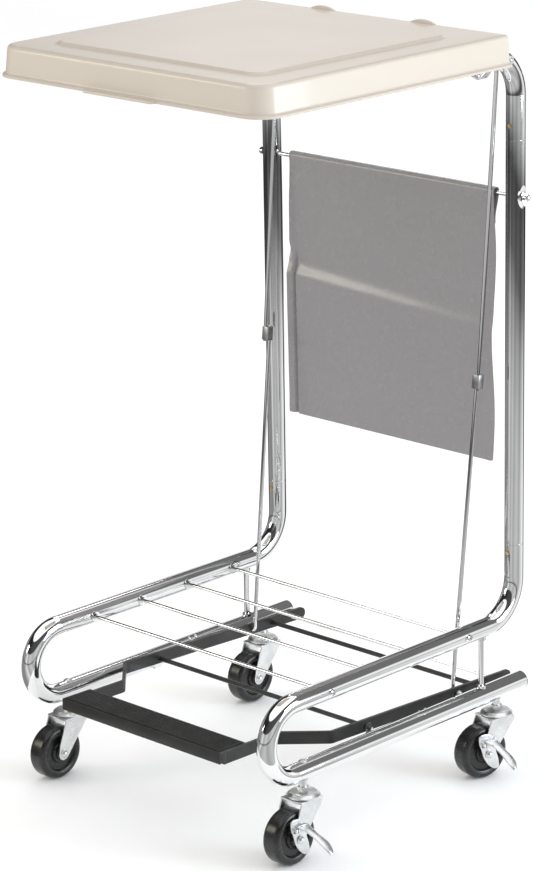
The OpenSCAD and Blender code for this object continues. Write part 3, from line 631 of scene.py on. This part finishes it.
def curtain_section(rod, bottom):
    """Side view of the vinyl from its lower edge, up the front, over the rod and down behind."""
    front = rod.y - SHEET_FRONT
    hang = rod.z - SLEEVE_FOOT - bottom
    points = [(front, bottom + hang * k / DROP_ROWS) for k in range(DROP_ROWS + 1)]
    for degrees in range(-20, 201, 20):
        a = math.radians(degrees)
        points.append((rod.y - SLEEVE_R * math.cos(a), rod.z + 1 * MM + SLEEVE_R * math.sin(a)))
    back = front + SHEET_GAP
    for k in range(1, HEM_ROWS + 1):
        share = k / HEM_ROWS
        points.append((back + (SLEEVE_R + 2 * MM) * (1 - share) ** 1.6,
                       rod.z - 8 * MM - (HEM_DROP - SLEEVE_FOOT) * share))
    return points


def crease_height(across):
    """Height of the packing crease above the lower edge, as a share of the drop."""
    return 0.527 - 0.03 * across


def hang_curtain(piece, pinned):
    """Lets the sheet hang under its own weight, with a little slack in its width."""
    group = piece.vertex_groups.new(name="pinned")
    group.add(pinned, 1.0, "REPLACE")
    cloth = add_modifier(piece, "CLOTH")
    cloth.settings.quality = 8
    cloth.settings.mass = 0.45
    cloth.settings.tension_stiffness = 40
    cloth.settings.compression_stiffness = 40
    cloth.settings.shear_stiffness = 15
    cloth.settings.bending_stiffness = 8
    cloth.settings.air_damping = 4
    cloth.settings.shrink_min = -0.008
    cloth.settings.vertex_group_mass = "pinned"
    cloth.collision_settings.use_collision = False
    cloth.point_cache.frame_start = 1
    cloth.point_cache.frame_end = HANG_FRAMES
    for step in range(1, HANG_FRAMES + 1):
        scene.frame_set(step)
    apply_modifiers(piece)
    scene.frame_set(1)
    piece.vertex_groups.clear()


def make_curtain(materials):
    low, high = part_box("curtain")
    rod_low, rod_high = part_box("curtain_rod")
    rod = (rod_low + rod_high) / 2
    half_w = (high.x - low.x) / 2
    middle = (low.x + high.x) / 2
    section = curtain_section(rod, low.z + SHEET_LIFT)
    columns = [EDGE_STRIP * k / EDGE_COLUMNS for k in range(EDGE_COLUMNS)]
    columns += [EDGE_STRIP + (2 * half_w - EDGE_STRIP) * k / COLUMNS for k in range(COLUMNS + 1)]
    bm = bmesh.new()
    rows = [[bm.verts.new((middle - half_w + x, y, z)) for x in columns] for y, z in section]
    skin_rings(bm, rows, closed=False)
    bm.verts.index_update()
    hung_rows = sum(1 for y, z in section[:DROP_ROWS] if z < rod.z - HEM_DROP)
    pinned = [v.index for row in rows[hung_rows:] for v in row]
    curtain = add_piece("curtain_sheet", mesh_from(bm, "curtain_sheet"))
    hang_curtain(curtain, pinned)
    shape_curtain(curtain, middle, half_w, low.z, rod)
    add_modifier(curtain, "SUBSURF", levels=1, render_levels=1)
    add_modifier(curtain, "SOLIDIFY", thickness=VINYL_T, offset=0)
    apply_modifiers(curtain, 50)
    dress(curtain, "curtain", "curtain_vinyl", materials)
    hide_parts("curtain")


def bell(value, centre, width):
    return math.exp(-((value - centre) / width) ** 2)


def ease(value, start, end):
    """0 before start, 1 after end, and a smooth S between them."""
    t = min(1, max(0, (value - start) / (end - start)))
    return t * t * (3 - 2 * t)


def shape_curtain(piece, middle, half_w, bottom, rod):
    """Packing crease, folded left edge and shallow waves of the stiff vinyl."""
    drop = rod.z - bottom
    weld = rod.z - HEM_DROP
    for vertex in piece.data.vertices:
        x, z = vertex.co.x - middle, vertex.co.z
        if vertex.co.y > rod.y - 2 * MM and z > weld - 2 * MM or z > rod.z - 6 * MM:
            continue
        across, share = x / half_w, (z - bottom) / drop
        free = ease(rod.z - 6 * MM - z, 0, 45 * MM)
        above = share - crease_height(across)
        slope = min(1, max(0, 1 - above / 0.06))
        shelf = (4.4 - 1.9 * across) * MM * slope ** 2 * (1 - 0.35 * ease(-above, 0, 0.5))
        ripple = 0.9 * MM * noise.noise(Vector((x * 8, z * 6, 1.7))) * ease(share, 0, 0.15)
        from_left, from_right = x + half_w, half_w - x
        fold = 5 * MM * bell(from_left, 11 * MM, 2.2 * MM) * (1 - ease(share, 0.58, 0.68))
        nick = 3.5 * MM * bell(share, 0.64, 0.018) * (1 - ease(from_left, 2 * MM, 9 * MM))
        curl = 3 * MM * bell(from_right, 0, 9 * MM) * math.sin(z * 30)
        seam = 0.5 * MM * bell(z, weld, 2.5 * MM)
        vertex.co.y += free * (fold + ripple + curl - shelf) + seam + nick
        wander = 0.8 + 0.5 * noise.noise(Vector((0, z * 20, 4)))
        vertex.co.x -= free * 1.5 * MM * (1 - ease(from_left, 0, 30 * MM)) * wander


# ---------- casters ----------

WHEEL_R = 35 * MM
# Half section of hub, web and rim: (along the axle, radius) in mm
HUB_PROFILE = ((-14.6, 3.1), (-14.6, 8.2), (-14.0, 9.2), (-12.2, 9.6), (-12.0, 12.6), (-11.2, 13.4),
               (-8.8, 14.2), (-8.6, 22.6), (-9.6, 24.0), (-11.6, 24.8), (-12.2, 26.0), (-12.5, 28.0))
# Round shoulder of the tread: centre along the axle and out from it, radius, and the start and
# end of the arc in degrees
SHOULDER = (-7.2, 29.2, 5.8, 205, 95)


def wheel_profile():
    """Section of the moulded wheel, from hub to hub over the tread, in metres."""
    points = in_metres(HUB_PROFILE)
    points += [(x * MM, min(r * MM, WHEEL_R)) for x, r in arc(*SHOULDER)]
    points += [(-4 * MM, WHEEL_R - 0.05 * MM), (0, WHEEL_R)]
    return points + [(-x, r) for x, r in points[-2::-1]]


CASTERS = ("left_front", "right_front", "left_rear", "right_rear")


def caster_turn(name):
    """Place of a wheel's centre and the direction of its axle."""
    joint = JOINTS["spin_" + name]
    axis = Vector(joint["axis"])
    return Matrix.Translation(joint["pos_m"]) @ axis.to_track_quat("X", "Z").to_matrix().to_4x4()


def make_wheel(name, materials):
    bm = bmesh.new()
    lathe(bm, wheel_profile(), caster_turn(name))
    bmesh.ops.remove_doubles(bm, verts=bm.verts, dist=1e-7)
    bmesh.ops.recalc_face_normals(bm, faces=bm.faces)
    wheel = add_piece("wheel_" + name + "_moulded", mesh_from(bm, "wheel_" + name, 35))
    dress(wheel, "wheel_" + name, "wheel_rubber", materials)
    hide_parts("wheel_" + name)


# ---------- caster brakes ----------

# Outline of the brake plate on the fork's outer leg: (back, up) from the axle, in mm
BRAKE_PLATE = ((-15, 27), (-15.5, 17), (-12, 8), (-8, -4), (-1, -14), (8, -21), (16, -20), (15, -8),
               (11, 4), (10, 16), (4, 25), (-6, 29))
# Centreline of the lever: (out, up, back) from the axle and half width, in mm
BRAKE_LEVER = ((24.0, 18.9, -1.0, 8.3), (26.0, 19.4, -1.0, 8.3), (28.8, 18.0, 0.0, 7.6),
               (33.0, 14.6, 2.6, 6.2), (39.5, 10.2, 4.6, 5.6), (47.0, 6.0, 6.0, 6.0),
               (54.5, 1.0, 6.8, 6.4), (60.5, -4.2, 7.0, 5.0), (64.0, -8.6, 7.0, 2.4))
LEVER_THICK = 1.7       # in mm, as are the crown and the centreline
LEVER_CROWN = 0.9       # rise of the lever's middle above its edges
LEVER_COLUMNS = 6
# Place of the brake pin from the wheel's centre: (out, back, up)
BRAKE_PIN = (23.6 * MM, -1 * MM, 16 * MM)
PIN_R = 1.6 * MM
PIN_HALF = 12.5 * MM
# Lug that carries the pin, from the fork out to the pin: (out, up) from the pin, in mm
KNUCKLE = ((-6, -5), (-1, -3.4), (2.2, -2.2), (3.3, 0), (2.2, 2.6), (-1, 3.6), (-6, 4.4))
KNUCKLE_STARTS = (-11.6 * MM, 10.2 * MM)
KNUCKLE_THICK = 1.5 * MM
# Web between the lever's barrel and its tongue above: (out, up) from the pin, in mm
LEVER_WEB = ((-1.2, 2.4), (2.6, 2), (2.4, 4.6), (-0.6, 4.2))
WEB_HALF = 8 * MM
# Barrel of the lever round the pin, as a closed section: (along the pin, radius) in mm
BARREL = ((-8.4, 1.9), (-8.4, 3.2), (8.4, 3.2), (8.4, 1.9), (-8.4, 1.9))
# Square stud on the brake plate, in mm
STUD = ((-1.6, -1.6), (1.6, -1.6), (1.6, 1.6), (-1.6, 1.6))
STUD_PLACE = (-9.5 * MM, 15.5 * MM, 0)


def catmull_rom(points, t):
    """Point at share t between the middle two of four points."""
    a, b, c, d = points
    return 0.5 * (2 * b + (c - a) * t + (2 * a - 5 * b + 4 * c - d) * t ** 2
                  + (3 * b - a - 3 * c + d) * t ** 3)


def smooth_loop(points, steps=5):
    """Closed curve through the points."""
    count = len(points)
    loop = []
    for i in range(count):
        four = [Vector(points[(i + k) % count]) for k in (-1, 0, 1, 2)]
        loop += [catmull_rom(four, k / steps) for k in range(steps)]
    return loop


def smooth_line(points, steps=4):
    """Curve through the points of an open line."""
    ends = [points[0], *points, points[-1]]
    line = []
    for i in range(1, len(ends) - 2):
        four = [Vector(ends[i + k]) for k in (-1, 0, 1, 2)]
        line += [catmull_rom(four, k / steps) for k in range(steps)]
    return line + [Vector(points[-1])]


def disc(bm, radius, low, high, turn, steps=32):
    prism(bm, [(radius * math.cos(2 * math.pi * k / steps), radius * math.sin(2 * math.pi * k / steps))
               for k in range(steps)], low, high, turn)


def make_brake_plate(name, caster, materials):
    turn = caster_turn(caster) @ OUTLINE_IN_YZ
    inner, outer = 17.6 * MM, 19.4 * MM
    bm = bmesh.new()
    prism(bm, in_metres(smooth_loop(BRAKE_PLATE)), inner, outer, turn)
    prism(bm, in_metres(STUD), outer - 0.2 * MM, outer + 0.9 * MM, turn @ Matrix.Translation(STUD_PLACE))
    pin = caster_turn(caster) @ Matrix.Translation(BRAKE_PIN) @ OUTLINE_IN_XZ
    disc(bm, PIN_R, -PIN_HALF, PIN_HALF, pin, 20)
    for start in KNUCKLE_STARTS:
        prism(bm, in_metres(KNUCKLE), start, start + KNUCKLE_THICK, pin)
    bmesh.ops.recalc_face_normals(bm, faces=bm.faces)
    piece = add_piece("brake_plate_" + name, mesh_from(bm, "brake_plate_" + name))
    bevel_edges(piece, 0.35 * MM, 35)
    apply_modifiers(piece, 40)
    dress(piece, "swivel_" + caster, "zinc", materials)
    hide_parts("brake_bracket_" + name)


def make_brake_lever(name, caster, materials):
    turn = caster_turn(caster)
    stations = smooth_line(BRAKE_LEVER)
    bm = bmesh.new()
    rings = []
    for i, station in enumerate(stations):
        ahead = stations[min(i + 1, len(stations) - 1)] - stations[max(i - 1, 0)]
        normal = Vector((-ahead[1], ahead[0])).normalized()
        out, up, back, half = station
        top, under = [], []
        for k in range(LEVER_COLUMNS + 1):
            across = -1 + 2 * k / LEVER_COLUMNS
            lift = LEVER_CROWN * (1 - across ** 2)
            for line, height in ((top, lift + LEVER_THICK), (under, lift)):
                place = Vector((out + normal[0] * height, back + across * half, up + normal[1] * height))
                line.append(turn @ (place * MM))
        rings.append([bm.verts.new(p) for p in top + under[::-1]])
    skin_rings(bm, rings)
    bm.faces.new(rings[0])
    bm.faces.new(rings[-1][::-1])
    pin = turn @ Matrix.Translation(BRAKE_PIN)
    lathe(bm, in_metres(BARREL), pin @ X_TO_Y, 28)
    prism(bm, in_metres(LEVER_WEB), -WEB_HALF, WEB_HALF, pin @ OUTLINE_IN_XZ)
    bmesh.ops.remove_doubles(bm, verts=bm.verts, dist=1e-6)
    bmesh.ops.recalc_face_normals(bm, faces=bm.faces)
    piece = add_piece("brake_lever_" + name + "_pressed", mesh_from(bm, "brake_lever_" + name))
    bevel_edges(piece, 0.35 * MM, 50)
    apply_modifiers(piece, 45)
    dress(piece, "brake_lever_" + name, "zinc", materials)
    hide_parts("brake_lever_" + name)


# ---------- light and floor ----------

# The studio as the polished metal sees it: (turn about the stand from -X, brightness), with the
# turn in whole circles. The thin dark gap beside the bright card draws the black line on each tube.
STUDIO_ROUND = ((0.0, 0.30), (0.14, 0.25), (0.21, 0.85), (0.24, 0.40), (0.33, 0.62), (0.38, 0.42),
                (0.47, 0.62), (0.55, 0.42), (0.60, 0.75), (0.655, 1.0), (0.69, 0.95), (0.705, 0.0),
                (0.75, 0.0), (0.765, 1.05), (0.875, 1.05), (0.90, 0.15), (0.97, 0.10), (1.0, 0.30))
# How far up that reaches: (sine of the elevation, share), with a dark gap above it
STUDIO_UP = ((0.0, 1.0), (0.29, 1.0), (0.34, 0.0), (1.0, 0.0))
# The gap itself, darkest to the left and behind: (turn, brightness)
STUDIO_GAP = ((0.0, 0.02), (0.20, 0.02), (0.30, 0.06), (0.55, 0.08), (0.60, 0.16), (0.84, 0.16),
              (0.90, 0.02), (1.0, 0.02))
# The lights in the ceiling: (sine of the elevation, brightness)
STUDIO_TOP = ((0.0, 0.0), (0.735, 0.0), (0.78, 1.3), (1.0, 1.1))
# Share of that brightness on the reflected floor: (distance from the stand in metres, share)
STUDIO_FLOOR = ((1.5, 1.0), (2.2, 0.65), (2.7, 0.22), (3.6, 0.10), (4.4, 0.9))
CARD_RADII = (0.45, 14)
CARD_STEPS = 64
CARD_LIFT = 2 * MM      # reflected floor above the ground
FLOOR_SIZE = 30
FLOOR_GAP = 0.5 * MM    # floor below the lowest point of the wheels
WORLD_STRENGTH = 1.06
LIT_POINT = (0, 0, 0.8)


class Backdrop(NodeTree):
    """Node tree of the world or of a card, which varies with the direction from the stand."""

    def __init__(self, tree, output):
        super().__init__(tree)
        split = self.node("ShaderNodeSeparateXYZ")
        self.link(self.node("ShaderNodeTexCoord").outputs[output], split.inputs["Vector"])
        self.x, self.y, self.z = split.outputs

    def round(self, stops=STUDIO_ROUND):
        angle = self.math("ARCTAN2", self.y, self.x)
        return self.ramp(self.math("ADD", self.math("DIVIDE", angle, 2 * math.pi), 0.5), *stops)

    def vector_math(self, operation, first, second):
        made = self.node("ShaderNodeVectorMath", operation=operation)
        self.link(first, made.inputs[0])
        self.link(second, made.inputs[1])
        return made.outputs["Vector"]

    def mix(self, share, low, high):
        made = self.node("ShaderNodeMix", data_type="RGBA")
        for name, value in (("Factor", share), ("A", low), ("B", high)):
            socket = next(i for i in made.inputs if i.name == name and i.enabled)
            if isinstance(value, tuple):
                socket.default_value = value
            else:
                self.link(value, socket)
        return next(o for o in made.outputs if o.enabled)


def make_floor():
    bpy.ops.mesh.primitive_plane_add(size=FLOOR_SIZE, location=(0, 0, cad_box[0][2] - FLOOR_GAP))
    floor = bpy.context.object
    floor.name = "floor"
    s = Shader("floor_paper")
    s.colour(s.ramp(s.noise(1.5, 2), (0.3, (0.93, 0.93, 0.93, 1)), (0.7, (0.95, 0.95, 0.95, 1))))
    s.set(Roughness=0.9, Specular_IOR_Level=0.1)
    paint(floor, s.material)


def make_reflected_floor():
    """The studio floor past the white paper, which only reflections can see."""
    turns = [2 * math.pi * k / CARD_STEPS for k in range(CARD_STEPS)]
    bm = bmesh.new()
    rings = [[bm.verts.new((r * math.cos(a), r * math.sin(a), 0)) for a in turns] for r in CARD_RADII]
    skin_rings(bm, rings[::-1])
    card = add_piece("studio_floor", mesh_from(bm, "studio_floor"))
    card.location.z = cad_box[0][2] + CARD_LIFT
    material = bpy.data.materials.new("studio_floor")
    material.use_nodes = True
    material.node_tree.nodes.clear()
    drop = Backdrop(material.node_tree, "Object")
    squares = drop.math("ADD", drop.math("POWER", drop.x, 2.0), drop.math("POWER", drop.y, 2.0))
    away = drop.math("SQRT", squares)
    reach = STUDIO_FLOOR[-1][0]
    white = drop.ramp(drop.math("DIVIDE", away, reach), *[(r / reach, share) for r, share in STUDIO_FLOOR])
    glow = drop.node("ShaderNodeEmission")
    drop.link(drop.vector_math("MULTIPLY", drop.round(), white), glow.inputs["Color"])
    drop.link(glow.outputs["Emission"], drop.node("ShaderNodeOutputMaterial").inputs["Surface"])
    paint(card, material)
    card.visible_camera = False
    card.visible_diffuse = False
    card.visible_shadow = False
    card.visible_transmission = False


def make_world():
    """Even white light all round, and a studio with dark gaps for the reflections."""
    world = bpy.data.worlds.new("studio")
    world.use_nodes = True
    scene.world = world
    background = world.node_tree.nodes["Background"]
    drop = Backdrop(world.node_tree, "Generated")
    walls = drop.mix(drop.ramp(drop.z, *STUDIO_UP), drop.round(STUDIO_GAP), drop.round())
    seen = drop.vector_math("ADD", walls, drop.ramp(drop.z, *STUDIO_TOP))
    glossy = drop.node("ShaderNodeLightPath").outputs["Is Glossy Ray"]
    drop.link(drop.mix(glossy, (1, 1, 1, 1), seen), background.inputs["Color"])
    background.inputs["Strength"].default_value = WORLD_STRENGTH


def area_light(name, place, size, power, tint):
    data = bpy.data.lights.new(name, "AREA")
    data.shape = "RECTANGLE"
    data.size, data.size_y = size
    data.energy = power
    data.color = tint
    light = bpy.data.objects.new(name, data)
    scene.collection.objects.link(light)
    light.location = place
    light.rotation_euler = (Vector(LIT_POINT) - Vector(place)).to_track_quat("-Z", "Y").to_euler()


def make_lights():
    scene.view_settings.view_transform = "Standard"
    area_light("right", (3.1, 1.45, 1.15), (1.6, 1.8), 78, (0.82, 0.92, 1.0))
    area_light("back", (-2.6, 2.6, 3.0), (0.8, 0.5), 8, (1.0, 0.97, 0.93))
    area_light("front", (-2.3, -2.5, 1.55), (1.0, 0.9), 20, (1.0, 0.96, 0.82))


make_camera()
materials = make_materials()
paint_cad_nodes(materials)
for node, width in SOFTENED.items():
    soften_node(node, width, materials)
close_plate_corners(materials)
make_lid(materials)
make_curtain(materials)
for caster in CASTERS:
    make_wheel(caster, materials)
for name in ("front", "rear"):
    make_brake_plate(name, "right_" + name, materials)
    make_brake_lever(name, "right_" + name, materials)
make_floor()
make_reflected_floor()
make_world()
make_lights()
